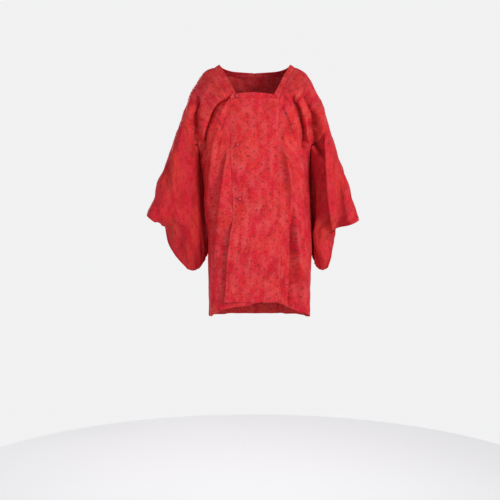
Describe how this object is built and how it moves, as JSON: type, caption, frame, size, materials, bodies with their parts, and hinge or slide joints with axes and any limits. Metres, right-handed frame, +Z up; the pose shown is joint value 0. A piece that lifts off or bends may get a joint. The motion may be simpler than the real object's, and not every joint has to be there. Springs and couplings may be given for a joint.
{
  "type": "michiyuki kimono overcoat",
  "caption": "Michiyuki kimono overcoat in worn form, square framed neck, overlapping snap-fastened front and hanging kimono sleeves.",
  "frame": {"origin": "between the two sides of the neck, at the height of the collar frame on the shoulders", "axes": "+Z up towards the neck, the front faces -Y, the wearer's left is +X"},
  "size_m": [0.6608, 0.2696, 0.808],
  "materials": {
    "red_silk": "soft silk"
  },
  "bodies": {
    "root": {"body_left": "red_silk", "body_right": "red_silk", "overlap_left": "red_silk", "overlap_right": "red_silk", "sleeve_left": "red_silk", "sleeve_right": "red_silk", "collar_front": "red_silk", "collar_left": "red_silk", "collar_right": "red_silk", "collar_under": "red_silk", "button_top": "red_silk", "button_mid": "red_silk", "button_low": "red_silk"}
  },
  "joints": []
}
